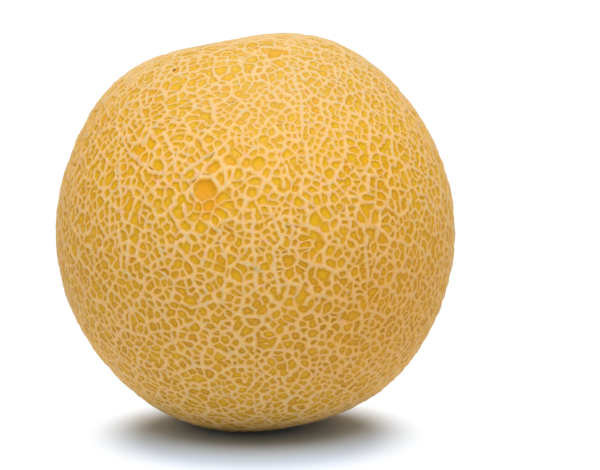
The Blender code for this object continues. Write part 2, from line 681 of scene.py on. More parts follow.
@dataclass
class FineNet:
    """The melon's surface: every cell's ridge, slope and floor in one closed mesh.

    Attributes:
        form: The smooth form that the ridges' tops lie on.
        broad: Plan of the broad net, the one that the solid has.
        fine: Plan of the fine net.
        strokes: Long bold ridges.
        windows: Large cells.
        stretches: Parts where the cells are drawn out one way.
        blushes: Orange patches, where most ridges are faint.
        scars: Scars at the two ends.
        laying: How the long ridges are laid.
        chances: How the ridges' strength is chosen.
        relief: How the ridges slope.
        grain: Seed of the ridges' own variation.
        least_gap: Least distance between two cells' middles, in spacings.
        drift: How far the cells' middles drift on a sphere of radius 1.
        drift_waves: Waves of that drift across the body's radius.
        pull: Share of the way that corners are moved on to the broad net's lines.
        least_wedge: Least area between two corners and the middle of a cell, in even cells.
        untangle_rounds: Most rounds of easing crossed ridges apart.
    """

    form: FruitForm
    broad: CellPlan
    fine: CellPlan
    strokes: tuple[Stroke, ...]
    windows: tuple[Window, ...]
    stretches: tuple[Stretch, ...]
    blushes: tuple[Spot, ...]
    scars: tuple[Scar, ...]
    laying: StrokeRule = StrokeRule()
    chances: Chances = Chances()
    relief: Relief = Relief()
    grain: int = 5
    least_gap: float = 0.30
    drift: float = 0.022
    drift_waves: float = 6.5
    pull: float = 0.6
    least_wedge: float = 0.004
    untangle_rounds: int = 14
    draw: random.Random = field(init=False)

    def __post_init__(self) -> None:
        """Start the draw of the ridges' variation."""
        self.draw = random.Random(self.grain)

    @property
    def floor_depth(self) -> float:
        """Depth of the cells' floors below the net's top, in metres."""
        return RidgeKind.BOLD.height

    def scar_rings(self) -> list[tuple[Vector, float]]:
        """Return each scar's direction and the angle of the ring of cells round it."""
        return [(scar.way, scar.ring_angle(self.form.mean_radius)) for scar in self.scars]

    def fine_middles(self) -> list[Vector]:
        """Scatter the fine cells' middles, with one to a window and pairs beside long ridges.

        Returns:
            Unit vectors.
        """
        middles = self.fine.middles(self.scar_rings(), self.drifted)
        step, aside, clear = (
            share * self.fine.spacing
            for share in (self.laying.step, self.laying.aside, self.laying.clear)
        )
        size = self.form.mean_radius
        kept = []
        for window in self.windows:
            heart = self.unstretched(window.place.way())
            middles = [m for m in middles if not window.claims(m, heart, size)]
            kept.append(heart)
        hearts = list(zip(self.windows, kept))
        for stroke in self.strokes:
            line = [(self.unstretched(way), side) for way, side in stroke.line(step)]
            middles = [m for m in middles if all((m - way).length > clear for way, _ in line)]
            for way, side in line:
                for middle in (way - side * aside, way + side * aside):
                    claimed = any(window.claims(middle, heart, size) for window, heart in hearts)
                    if not claimed and all((middle - near).length > 0.5 * clear for near in kept):
                        kept.append(middle.normalized())
        return self.spaced(kept + middles, self.least_gap * self.fine.spacing)

    @staticmethod
    def spaced(middles: Sequence[Vector], gap: float) -> list[Vector]:
        """Leave out the middles that lie too near an earlier one.

        Args:
            middles: Unit vectors.
            gap: Least distance between two of them.

        Returns:
            The others in their order.
        """
        tree = search_tree(middles)
        left_out: set[int] = set()
        for number, middle in enumerate(middles):
            if number not in left_out:
                near = tree.find_range(middle, gap)
                left_out.update(other for _, other, _ in near if other > number)
        return [middle for number, middle in enumerate(middles) if number not in left_out]

    def drifted(self, way: Vector) -> Vector:
        """Return where a cell's middle moves to, so that the net is uneven."""
        way = way.normalized()
        return way + self.drift * noise_vector(way * self.drift_waves, DRIFT_APART)

    def stretched(self, way: Vector) -> Vector:
        """Return where the stretches move a unit vector to."""
        return (way + sum((stretch.shift(way) for stretch in self.stretches), Vector())).normalized()

    def unstretched(self, way: Vector, rounds: int = 12) -> Vector:
        """Find the unit vector that the stretches move to the given one.

        Args:
            way: The given unit vector.
            rounds: Rounds of coming nearer to it.

        Returns:
            The one before the stretches.
        """
        before = way
        for _ in range(rounds):
            before = (before + way - self.stretched(before)).normalized()
        return before

    @staticmethod
    def joined(middles: Sequence[Vector]) -> tuple[Net, list[Corner]]:
        """Join middles into triangles, sorted because the hull operator's order isn't fixed.

        Args:
            middles: Unit vectors.

        Returns:
            Closed mesh of triangles, and its vertices in the middles' order.
        """
        hull = bmesh.new()
        for middle in middles:
            hull.verts.new(middle)
        bmesh.ops.convex_hull(hull, input=hull.verts)
        hull.verts.index_update()
        triangles = []
        for face in hull.faces:
            numbers = [vert.index for vert in face.verts]
            first = numbers.index(min(numbers))
            triangles.append(numbers[first:] + numbers[:first])
        hull.free()
        net = bmesh.new()
        verts = [net.verts.new(middle) for middle in middles]
        for triangle in sorted(triangles):
            net.faces.new([verts[number] for number in triangle])
        net.normal_update()
        return net, verts

    @staticmethod
    def turn_dents(net: Net) -> None:
        """Turn each edge that dents the sphere, which the hull operator's rounding leaves.

        Args:
            net: Closed mesh of triangles.
        """
        waiting = list(net.edges)
        while waiting:
            edge = waiting.pop()
            if not edge.is_valid or edge.is_convex:
                continue
            turned = bmesh.utils.edge_rotate(edge, True)
            if turned is not None:
                for face in turned.link_faces:
                    face.normal_update()
                    waiting.extend(side for side in face.edges if side is not turned)

    @staticmethod
    def cells(middles: Sequence[Vector]) -> Net:
        """Divide a sphere into cells, each holding what lies nearest to one middle.

        Args:
            middles: Unit vectors.

        Returns:
            Closed mesh of radius 1 with one face for each middle.
        """
        net, old_verts = FineNet.joined(middles)
        FineNet.turn_dents(net)
        old_edges = list(net.edges)
        ways = [face.normal.copy() for face in net.faces]
        hearts = []
        for face in net.faces:
            points = [vert.co for vert in face.verts]
            facing = [(points[i - 1] - points[i - 2]).length for i in range(3)]
            weighted = (point * side for point, side in zip(points, facing))
            hearts.append(sum(weighted, Vector()) / sum(facing))
        corners = bmesh.ops.poke(net, faces=net.faces)["verts"]
        for corner, heart in zip(corners, hearts):
            corner.co = heart
        bmesh.ops.rotate_edges(net, edges=old_edges)
        bmesh.ops.dissolve_verts(net, verts=old_verts)
        for corner, way in zip(corners, ways):
            corner.co = way
        net.normal_update()
        return net

    def owners(self, net: Net) -> tuple[dict[Cell, int], list[Vector]]:
        """Find the broad cell that each fine cell belongs to.

        Args:
            net: The fine net.

        Returns:
            Each face's broad cell by number, and the broad cells' middles.
        """
        middles = self.broad.middles(self.scar_rings())
        tree = search_tree(middles)
        found = {face: tree.find(face.calc_center_median().normalized())[1] for face in net.faces}
        return found, middles

    def follow_broad_net(self, net: Net) -> None:
        """Pull the fine ridges on to the lines between broad cells.

        Args:
            net: The fine net on a sphere of radius 1.
        """
        owner, middles = self.owners(net)
        for vert in net.verts:
            near = sorted({owner[face] for face in vert.link_faces})
            shift = Vector()
            for first, second in zip(near, near[1:]):
                across = middles[first] - middles[second]
                shift -= across * (vert.co.dot(across) / across.length_squared)
            vert.co = (vert.co + self.pull * shift).normalized()

    def cut_strokes(self, net: Net) -> None:
        """Cut each long ridge into the net, and join the slivers that this leaves to their cells.

        Args:
            net: The fine net on a sphere of radius 1.
        """
        layer = net.edges.layers.int.new("stroke")
        least = self.laying.least_cell * self.fine.spacing ** 2
        for stroke in self.strokes:
            start, end = stroke.start.way(), stroke.end.way()
            crown, normal = stroke.plane()
            middle = normal * crown.dot(normal)
            radius = (crown - middle).length
            along = (end - start) / (end - start).length_squared
            crossed = []
            for cell in net.faces:
                heart = cell.calc_center_median()
                near = (heart - crown).length < (end - start).length
                if near and 0.0 < (heart - start).dot(along) < 1.0:
                    crossed.append(cell)
            sides = list(dict.fromkeys(edge for cell in crossed for edge in cell.edges))
            corners = list(dict.fromkeys(vert for cell in crossed for vert in cell.verts))
            cut = bmesh.ops.bisect_plane(
                net,
                geom=crossed + sides + corners,
                dist=self.laying.reach * self.fine.spacing * radius,
                plane_co=crown,
                plane_no=normal,
            )["geom_cut"]
            ridge = [part for part in cut if isinstance(part, bmesh.types.BMEdge)]
            for part in cut:
                if isinstance(part, Corner):
                    outward = part.co - normal * part.co.dot(normal)
                    part.co = middle + radius * outward.normalized()
            for edge in ridge:
                edge[layer] = 1
            for cell in list(dict.fromkeys(cell for edge in ridge for cell in edge.link_faces)):
                if cell.is_valid and cell.calc_area() < least:
                    spare = [edge for edge in cell.edges if not edge[layer]]
                    longest = max(spare, key=bmesh.types.BMEdge.calc_length, default=None)
                    if longest is not None:
                        bmesh.ops.dissolve_edges(net, edges=[longest], use_verts=False)

    def untangle(self, net: Net) -> None:
        """Ease ridges apart wherever they cross, until each cell is open round its middle.

        Args:
            net: The fine net on a sphere of radius 1.
        """
        least = self.least_wedge * self.fine.spacing ** 2
        for _ in range(self.untangle_rounds):
            tangled = set()
            for cell in net.faces:
                rim = list(cell.verts)
                heart = mean_point([vert.co for vert in rim])
                for first, second in zip(rim[-1:] + rim, rim):
                    wedge = (first.co - heart).cross(second.co - heart)
                    if wedge.dot(heart) < least:
                        tangled.update((first, second))
            eased = []
            for vert in tangled:
                middle = mean_point([edge.other_vert(vert).co for edge in vert.link_edges])
                eased.append((vert, vert.co.lerp(middle, 0.5).normalized()))
            for vert, way in eased:
                vert.co = way
            if not tangled:
                break

    def grade(self, net: Net) -> list[RidgeKind]:
        """Choose how strong each ridge is, and write it on the mesh's edges.

        Args:
            net: The fine net.

        Returns:
            The kinds in the order of their numbers on the edges.
        """
        owner, _ = self.owners(net)
        kinds = list(RidgeKind)
        layer = net.edges.layers.int.new("kind")
        strokes = net.edges.layers.int["stroke"]
        stem, size, chances = self.form.stem_way, self.form.mean_radius, self.chances
        poles = [(scar.way, chances.collar * scar.radius / size) for scar in self.scars]
        blushes = [(spot.place.way(), spot.radius / size) for spot in self.blushes]
        for edge in net.edges:
            first, second = (vert.co for vert in edge.verts)
            middle = ((first + second) / 2.0).normalized()
            sides = {owner[face] for face in edge.link_faces}
            around = stem.cross(middle).normalized()
            chance = self.draw.random()
            chance += chances.stem_bias * (0.5 - abs((first - second).normalized().dot(around)))
            kind = RidgeKind.MINOR
            if edge[strokes]:
                kind = RidgeKind.BOLD
            elif any(middle.angle(pole) < reach for pole, reach in poles):
                kind = RidgeKind.MAIN
            elif any(middle.angle(soft) < reach for soft, reach in blushes) and chance < chances.soft:
                kind = RidgeKind.FAINT
            elif len(sides) > 1:
                kind = RidgeKind.MAIN if chance > chances.broad else RidgeKind.MINOR
            elif chance < chances.broken:
                kind = RidgeKind.BROKEN
            elif chance < chances.faint:
                kind = RidgeKind.FAINT
            elif chance > chances.main:
                kind = RidgeKind.MAIN
            edge[layer] = kinds.index(kind)
        return kinds

    def bend_ridges(self, net: Net, kinds: Sequence[RidgeKind]) -> None:
        """Bend each long enough ridge at its middle, and let the bold ones sway instead.

        Args:
            net: The fine net on a sphere of radius 1.
            kinds: The kinds in the order of their numbers on the edges.
        """
        layer = net.edges.layers.int["kind"]
        least, bend = self.relief.least_bent * self.fine.spacing, self.relief.bend
        long = [edge for edge in net.edges if edge.calc_length() > least]
        bmesh.ops.bisect_edges(net, edges=long, cuts=1)
        for vert in net.verts:
            if len(vert.link_edges) != 2 or kinds[vert.link_edges[0][layer]] is RidgeKind.BOLD:
                continue
            first, second = (edge.other_vert(vert).co for edge in vert.link_edges)
            aside = (second - first).cross(vert.co)
            vert.co = (vert.co + aside * self.draw.uniform(-bend, bend)).normalized()
        sway = self.laying.sway * self.fine.spacing
        for vert in net.verts:
            if any(kinds[edge[layer]] is RidgeKind.BOLD for edge in vert.link_edges):
                push = noise_vector(vert.co * self.laying.sway_waves, SWAY_APART)
                vert.co = (vert.co + sway * push).normalized()

    def build(self) -> Net:
        """Build the whole surface.

        Returns:
            Closed mesh in place, with cork, scar, tint, slope and painted shade on its vertices.
        """
        net = self.cells(self.fine_middles())
        LOG.info("fine net: %d cells", len(net.faces))
        for vert in net.verts:
            vert.co = self.stretched(vert.co.normalized())
        gap = self.relief.shortest / self.form.mean_radius
        bmesh.ops.remove_doubles(net, verts=net.verts, dist=gap)
        self.follow_broad_net(net)
        self.untangle(net)
        self.cut_strokes(net)
        bmesh.ops.remove_doubles(net, verts=net.verts, dist=gap)
        self.untangle(net)
        kinds = self.grade(net)
        self.bend_ridges(net, kinds)
        self.untangle(net)
        self.shape_crests(net, kinds)
        self.open_windows(net)
        return net

    def shape_crests(self, net: Net, kinds: Sequence[RidgeKind]) -> None:
        """Write the ridges' width, depth, cork and painted shade on the corners where they meet.

        Args:
            net: The fine net on a sphere of radius 1, with its ridges' kinds.
            kinds: The kinds in the order of their numbers on the edges.
        """
        kind_layer = net.edges.layers.int["kind"]
        for name in ("cork", "scar", "tint", "shade", "depth", "half_width"):
            net.verts.layers.float.new(name)
        numbers, relief = net.verts.layers.float, self.relief
        cork, depth, half_width, shade = (
            numbers[name] for name in ("cork", "depth", "half_width", "shade")
        )
        for vert in net.verts:
            met = [kinds[edge[kind_layer]] for edge in vert.link_edges]
            weights = [max(kind.cork, relief.least_pull) ** 2 for kind in met]
            total = sum(weights)
            width = sum(w * kind.half_width for w, kind in zip(weights, met)) / total
            height = sum(w * kind.height for w, kind in zip(weights, met)) / total
            corky = sum(w * kind.cork for w, kind in zip(weights, met)) / total
            if len(met) > 2:
                width *= relief.joint
                height *= relief.joint_rise
                corky = max(corky, relief.joint_cork)
            uneven = noise.noise(vert.co * relief.waves)
            loose = self.draw.uniform(-relief.loose_width, relief.loose_width)
            vert[half_width] = width * (1.0 + relief.uneven_width * uneven + loose)
            vert[depth] = max(self.floor_depth - height * (1.0 + relief.uneven_height * uneven), 0.0)
            vert[cork] = corky
            # Painted shade: a cell's floor is darker at its corners than at its sides.
            vert[shade] = relief.corner_shade if len(met) > 2 else relief.side_shade

    def open_windows(self, net: Net) -> None:
        """Slope each ridge down to the cells' floors, and put everything in place.

        Args:
            net: The fine net on a sphere of radius 1, with its numbers written on the corners.
        """
        numbers, relief = net.verts.layers.float, self.relief
        cork, tint, depth, shade = (numbers[name] for name in ("cork", "tint", "depth", "shade"))
        cells = list(net.faces)
        scar_cells = {
            max(cells, key=lambda cell: cell.calc_center_median().dot(scar.way)): scar
            for scar in self.scars
        }
        rims = [list(cell.verts) for cell in cells]
        inset = FIRST_INSET / self.form.mean_radius
        bmesh.ops.inset_individual(net, faces=cells, thickness=inset)
        plain, tints, sizes = [], [], []
        for cell, rim in zip(cells, rims):
            if cell in scar_cells:
                self.turn_scar(net, cell, scar_cells[cell])
                continue
            plain.append(cell)
            tints.append(self.draw.random())
            sizes.append(self.lay_floor(cell, rim, numbers["half_width"]))
            for vert, top in zip(cell.verts, rim):
                vert[tint] = tints[-1]
                vert[shade] = top[shade]
                vert[depth] = self.floor_depth
                vert[cork] = 0.0
        hearts = bmesh.ops.poke(net, faces=plain)["verts"]
        for heart, own_tint, size in zip(hearts, tints, sizes):
            heart[tint] = own_tint
            # Painted shade: the middles of small floors are darker.
            heart[shade] = relief.small_shade * (1.0 - smooth_share(size, *relief.small_to_large))
            heart[depth] = self.floor_depth - relief.floor_crown
            heart[cork] = relief.bare
        for vert in net.verts:
            lift = 0.0 if vert[cork] > 0.0 else relief.rest_lift
            vert.co = self.form.point(vert.co.normalized(), vert[depth], lift)
        net.normal_update()

    def lay_floor(
        self, cell: Cell, rim: Sequence[Corner], half_width: bmesh.types.BMLayerItem
    ) -> float:
        """Move the foot of a cell's border in from the ridges round it.

        Args:
            cell: The floor's face, in the same order as the rim.
            rim: The ridge's vertices round the cell.
            half_width: Layer of half the ridge's width, in metres.

        Returns:
            The floor's mean radius in metres.
        """
        heart = mean_point([vert.co for vert in rim])
        count, tiny = len(rim), 1e-9
        spans = []
        for i, vert in enumerate(rim):
            along = rim[(i + 1) % count].co - vert.co
            spans.append((heart - vert.co).cross(along).length / max(along.length, tiny))
        reaches, rounds = [], []
        for i, top in enumerate(rim):
            span = 0.5 * (spans[i] + spans[i - 1]) * self.form.mean_radius
            slope = min(top[half_width] / max(span, tiny), self.relief.widest_slope)
            reaches.append((top.co - heart).length)
            rounds.append(reaches[-1] * (1.0 - slope))
        even = sum(rounds) / count
        for foot, top, reach, own in zip(cell.verts, rim, reaches, rounds):
            rounded = own + self.relief.roundness * (even - own)
            foot.co = heart.lerp(top.co, min(rounded / reach, self.relief.outermost_foot))
        return even * self.form.mean_radius

    def turn_scar(self, net: Net, cell: Cell, scar: Scar) -> None:
        """Shape a scar as rings about its middle.

        Args:
            net: The fine net.
            cell: The scar's round cell.
            scar: The scar.
        """
        numbers = net.verts.layers.float
        cork, scarred, depth = numbers["cork"], numbers["scar"], numbers["depth"]
        waver, waves = scar.waver
        hollow, hollows = scar.hollow
        for number, ring in enumerate(scar.rings[:-1]):
            if number:
                bmesh.ops.inset_individual(net, faces=[cell], thickness=FIRST_INSET)
            angle = ring.radius * MILLIMETRE / self.form.mean_radius
            for vert in cell.verts:
                outward = (vert.co - scar.way * vert.co.dot(scar.way)).normalized()
                uneven = 1.0 + waver * noise.noise(outward * waves + scar.way * number)
                vert.co = scar.way * math.cos(angle) + outward * math.sin(angle * uneven)
                vert[cork] = ring.cork
                vert[scarred] = ring.scar
                vert[depth] = ring.depth * MILLIMETRE * (1.0 + hollow * noise.noise(outward * hollows))
        heart = bmesh.ops.poke(net, faces=[cell])["verts"][0]
        pit = scar.rings[-1]
        heart[cork] = pit.cork
        heart[scarred] = pit.scar
        heart[depth] = pit.depth * MILLIMETRE


def operator(operation: str, swapped: bool = False) -> Callable[["Wire", "Input"], "Wire"]:
    """Return one of Wire's operators.

    Args:
        operation: The Math node's operation.
        swapped: Whether the wire is the second of the two numbers.

    Returns:
        The method, which adds the node.
    """
    def apply(self: "Wire", other: "Input") -> "Wire":
        """Return the Math node's output for the two numbers."""
        pair = {0: other, 1: self} if swapped else {0: self, 1: other}
        return self.bench.node("ShaderNodeMath", {"operation": operation}, pair)

    return apply


class Wire:
    """A node's output that Python's operators work on, adding a Math node for each.

    Attributes:
        bench: The material's node bench.
        socket: The output socket.
    """

    __add__ = operator("ADD")
    __radd__ = operator("ADD", swapped=True)
    __sub__ = operator("SUBTRACT")
    __rsub__ = operator("SUBTRACT", swapped=True)
    __mul__ = operator("MULTIPLY")
    __rmul__ = operator("MULTIPLY", swapped=True)
    or_larger = operator("MAXIMUM")

    def __init__(self, bench: "Bench", socket: bpy.types.NodeSocket) -> None:
        """Wrap an output socket of a material's node bench."""
        self.bench = bench
        self.socket = socket

    def eased(self, start: float, full: float) -> "Wire":
        """Ease from 0 to 1 between two values, whichever is the larger.

        Args:
            start: Value at which it is 0.
            full: Value at which it is 1.

        Returns:
            The eased number.
        """
        ends = (0.0, 1.0) if start < full else (1.0, 0.0)
        return self.bench.node(
            "ShaderNodeMapRange",
            {"interpolation_type": "SMOOTHSTEP"},
            {0: self, 1: min(start, full), 2: max(start, full), 3: ends[0], 4: ends[1]},
        )


@dataclass(frozen=True)
class Fade:
    """How a number that varies over the surface brings in a colour or a height.

    Attributes:
        start: The number where it starts.
        full: The number where it is whole.
        share: Its share where it is whole.
    """

    start: float
    full: float
    share: float = 1.0

    def of(self, number: Wire) -> Wire:
        """Return the share at each place."""
        return number.eased(self.start, self.full) * self.share


class Bench:
    """A material's node tree and the ways to add to it.

    Attributes:
        material: The material.
        tree: Its node tree.
        shader: Its main shader.
    """

    def __init__(self, name: str) -> None:
        """Start a material with its own shader.

        Args:
            name: Its name.
        """
        self.material = bpy.data.materials.new(name)
        self.material.use_nodes = True
        self.tree = self.material.node_tree
        self.shader = self.tree.nodes["Principled BSDF"]

    def node(
        self,
        kind: str,
        settings: dict[str, object] | None = None,
        inputs: dict[int | str, Input] | None = None,
        output: int | str = 0,
    ) -> Wire:
        """Add a node.

        Args:
            kind: The node's type.
            settings: Its own settings, which are set first.
            inputs: Values or links of its input sockets.
            output: The output to return.

        Returns:
            The output, wrapped.
        """
        added = self.tree.nodes.new(kind)
        for name, value in (settings or {}).items():
            setattr(added, name, value)
        for key, value in (inputs or {}).items():
            self.feed(added.inputs[key], value)
        return Wire(self, added.outputs[output])

    def feed(self, socket: bpy.types.NodeSocket, value: Input) -> None:
        """Link or set an input socket.

        Args:
            socket: The socket.
            value: A wire to link, or a value to set.
        """
        if isinstance(value, Wire):
            self.tree.links.new(value.socket, socket)
        else:
            socket.default_value = value

    def set(self, **values: Input) -> None:
        """Link or set the shader's own sockets, named with _ for each space."""
        for name, value in values.items():
            self.feed(self.shader.inputs[name.replace("_", " ")], value)

    def blend(self, share: Input, first: Input, second: Input) -> Wire:
        """Return the first colour with a share of the second mixed in."""
        return self.node("ShaderNodeMix", {"data_type": "RGBA"}, {0: share, 6: first, 7: second}, 2)

    def coats(self, colour: Input, *coats: tuple[Input, Input]) -> Wire:
        """Lay colours over one another.

        Args:
            colour: The lowest colour.
            *coats: Share and colour of each one that is laid over it, in order.

        Returns:
            The colour that shows.
        """
        for share, coat in coats:
            colour = self.blend(share, colour, coat)
        return colour

    def vector(self, operation: str, *inputs: Input, output: str = "Vector") -> Wire:
        """Return a Vector Math node's output for its inputs in order."""
        settings = {"operation": operation}
        return self.node("ShaderNodeVectorMath", settings, dict(enumerate(inputs)), output)

    def attribute(self, name: str) -> Wire:
        """Return a number that the mesh's vertices hold."""
        return self.node("ShaderNodeAttribute", {"attribute_name": name}, output="Fac")


class Grain(Enum):
    """Noise over the surface: grains to the metre, octaves of finer noise, their strength."""

    FINE = (1500.0, 3.0, 0.6)
    FIBRE = (900.0, 3.0, 0.7)
    CRUMB = (620.0, 2.0, 0.5)
    STRETCH = (380.0, 2.0, 0.5)
    GAP = (230.0, 2.0, 0.5)
    DRIFT = (95.0, 2.0, 0.5)
    CLOUD = (46.0, 2.0, 0.5)


@dataclass(frozen=True)
class SkinFinish:
    """Ripe skin between the ridges, with painted shade and a painted sheen.

    Attributes:
        golden: Main colour.
        orange: Riper cells.
        olive: Greener cells.
        blush: Ripest patches.
        rim: Colour of the painted shade at the foot of the ridges, in the cells' corners and low on the
            melon.
        ripe: Riper cells by their tint and the clouds.
        green: Greener cells by their tint and the drift.
        cell_tint: Weight of a cell's tint against the clouds and the drift.
        less_green: Loss of green cells low on the melon, as a share.
        riper: Share of orange on the wide riper parts.
        orange_low_left: Share of orange on the lower part and the left side.
        corner: Painted shade in the cells' corners.
        corner_drift: Weight of the drift in that shade.
        deep: Strength of that painted shade, and what is added to it low and high on the melon.
        dim: Painted shade low on the melon, and what a cell's tint adds to it.
        foot: Painted shade at the foot of the ridges by how corky they are.
        painted_sheen: Share of grey laid over the skin high on the melon, a painted sheen.
        roughness: Its roughness.
    """

    golden: Colour = screen_colour(228, 176, 8)
    orange: Colour = screen_colour(226, 156, 8)
    olive: Colour = screen_colour(216, 170, 12)
    blush: Colour = screen_colour(230, 157, 2)
    rim: Colour = screen_colour(164, 118, 30)
    ripe: Fade = Fade(0.73, 1.27, 0.7)
    green: Fade = Fade(0.73, 0.40, 0.6)
    cell_tint: tuple[float, float] = (0.7, 0.5)
    less_green: float = 0.583
    riper: float = 0.6
    orange_low_left: float = 0.34
    corner: Fade = Fade(0.12, 1.0)
    corner_drift: float = 0.8
    deep: tuple[float, float, float] = (0.38, 0.08, 0.10)
    dim: tuple[float, float] = (0.05, 0.24)
    foot: Fade = Fade(-0.30, 0.12, 0.16)
    painted_sheen: float = 0.07
    roughness: float = 0.5


@dataclass(frozen=True)
class CorkFinish:
    """The dry net.

    Attributes:
        pale: Tops of the ridges.
        peach: Their shoulders.
        amber: Their thin edges, where the skin shows through.
        pink: Fresher stretches.
        grey: Weathered stretches, and the painted sheen high on the melon.
        ripe: Stretches on an orange patch.
        crumbled: Weight of the crumb and of the fine grain in the cork's edge.
        thinner: How much narrower the cork is high on the melon.
        reach: Cork over skin by how corky a place is.
        shoulder: Peach over amber, likewise.
        top: Pale over peach, likewise.
        mottle: Peach over all by the crumb.
        fresh: Pink by the stretches.
        worn: Grey by how corky a place is.
        weathered: Grey by the stretches.
        painted_cork_sheen: Grey laid over the cork high on the melon, a painted sheen.
        riper: Share of the ripe cork's colour on the wide riper parts.
        on_blush: Ripe cork on an orange patch by how corky a place is.
        hair: Share of cork in the hairlines.
        hair_width: Cork by the distance from a hairline, in its cells.
        hair_gap: Where hairlines are broken.
        hair_scale: Cells of hairlines to the metre.
        hair_waver: Waves to the metre that bend the hairlines, and their reach in metres.
        roughness: Its roughness.
    """

    pale: Colour = screen_colour(237, 199, 138)
    peach: Colour = screen_colour(235, 185, 98)
    amber: Colour = screen_colour(232, 172, 54)
    pink: Colour = screen_colour(235, 183, 148)
    grey: Colour = screen_colour(218, 192, 144)
    ripe: Colour = screen_colour(230, 164, 64)
    crumbled: tuple[float, float] = (0.34, 0.16)
    thinner: float = 0.13
    reach: Fade = Fade(-0.06, 0.56)
    shoulder: Fade = Fade(0.25, 0.60)
    top: Fade = Fade(0.60, 1.10)
    mottle: Fade = Fade(0.50, 0.34, 0.5)
    fresh: Fade = Fade(0.52, 0.70, 0.6)
    worn: Fade = Fade(0.98, 1.30, 0.42)
    weathered: Fade = Fade(0.46, 0.32, 0.6)
    painted_cork_sheen: float = 0.48
    riper: float = 0.35
    on_blush: Fade = Fade(0.85, 0.45, 0.8)
    hair: float = 0.45
    hair_width: Fade = Fade(0.085, 0.03)
    hair_gap: Fade = Fade(0.50, 0.60)
    hair_scale: float = 520.0
    hair_waver: tuple[float, float] = (420.0, 1.2 * MILLIMETRE)
    roughness: float = 0.82


@dataclass(frozen=True)
class ScarFinish:
    """Dried tissue where the stem and the blossom were.

    Attributes:
        tan: Main colour.
        brown: Its cracks and pit, and the dark flecks.
        reach: Tissue over cork by how scarred a place is.
        wedge: Tissue between the cracks that run out from the middle.
        ring: Tissue between the cracks that run round it.
        fibre: Paler fibres.
        waver: Waves to the metre that bend the cracks, and their reach in metres.
        wedge_noise: Scale, detail and roughness of the wedges.
        ring_noise: Rings to the metre, and their detail.
        ring_waver: Further reach of the crumb in the rings, in metres.
        fleck: Share of brown in a dark fleck.
    """

    tan: Colour = screen_colour(190, 150, 98)
    brown: Colour = screen_colour(104, 72, 40)
    reach: Fade = Fade(0.3, 0.8)
    wedge: Fade = Fade(0.32, 0.56)
    ring: Fade = Fade(0.36, 0.56, 0.65)
    fibre: Fade = Fade(0.30, 0.70, 0.55)
    waver: tuple[float, float] = (330.0, 3.6 * MILLIMETRE)
    wedge_noise: tuple[float, float, float] = (4.6, 3.0, 0.6)
    ring_noise: tuple[float, float] = (900.0, 2.0)
    ring_waver: float = 0.8 * MILLIMETRE
    fleck: float = 0.85


@dataclass(frozen=True)
class Bumps:
    """Relief that is too fine for the mesh, and the sheen.

    Attributes:
        strength: Strength of the relief.
        distance: Its height in metres.
        grain: Weight of the cork's fine grain.
        hair: Weight of the hairlines.
        crumb: Weight of the crumb.
        tissue: Weight of the scars' tissue.
        rough_grain: Change of roughness with the fine grain.
        specular: Strength of the surface's mirror-like part.
    """

    strength: float = 0.55
    distance: float = 0.22 * MILLIMETRE
    grain: float = 0.5
    hair: float = 0.55
    crumb: float = 0.25
    tissue: float = 1.6
    rough_grain: float = 0.12
    specular: float = 0.2


